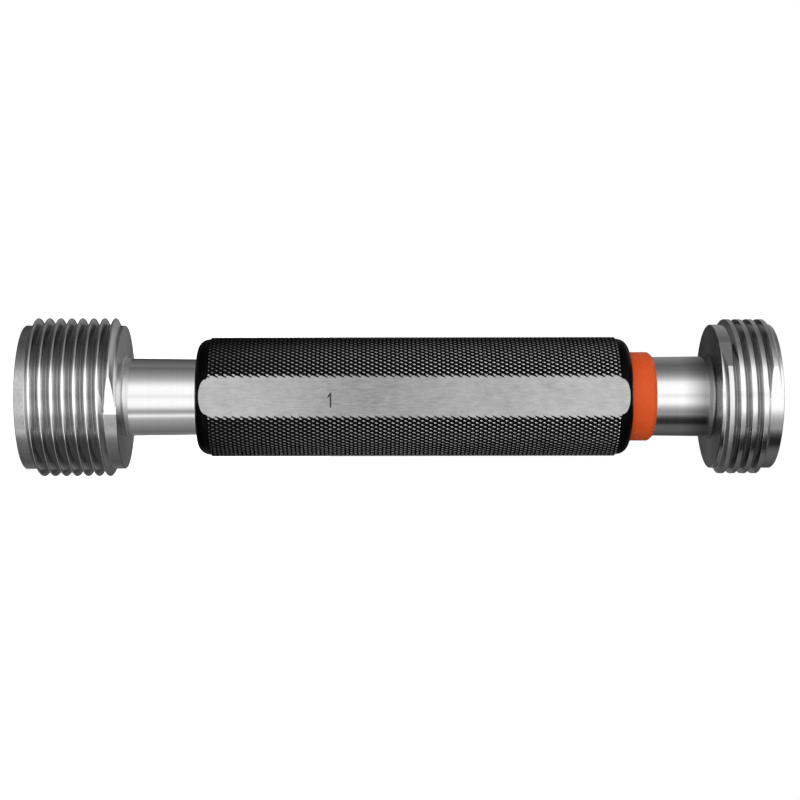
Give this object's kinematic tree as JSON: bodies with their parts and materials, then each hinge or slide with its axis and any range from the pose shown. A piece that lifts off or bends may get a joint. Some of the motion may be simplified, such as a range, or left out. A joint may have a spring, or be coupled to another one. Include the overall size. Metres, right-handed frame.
{
  "type": "thread plug gauge",
  "caption": "Double-ended GO and NO-GO thread plug gauge for a 1 inch parallel pipe thread, with a knurled handle and a marker ring.",
  "frame": {"origin": "centre of the GO plug's end face, which the gauge stands on", "axes": "+Z along the gauge's axis towards the NO-GO end, -Y out of the handle's bright flat, +X to the right when the flat faces the viewer"},
  "size_m": [0.0332, 0.0332, 0.1559],
  "materials": {
    "gauge_steel": "ground and polished hardened steel",
    "black_handle": "black oxide over steel, knurled, with one bright milled flat",
    "marker_red": "glossy orange-red plastic"
  },
  "bodies": {
    "root": {"go_member": "gauge_steel", "nogo_member": "gauge_steel", "handle": "black_handle", "marker_ring": "marker_red"}
  },
  "joints": []
}
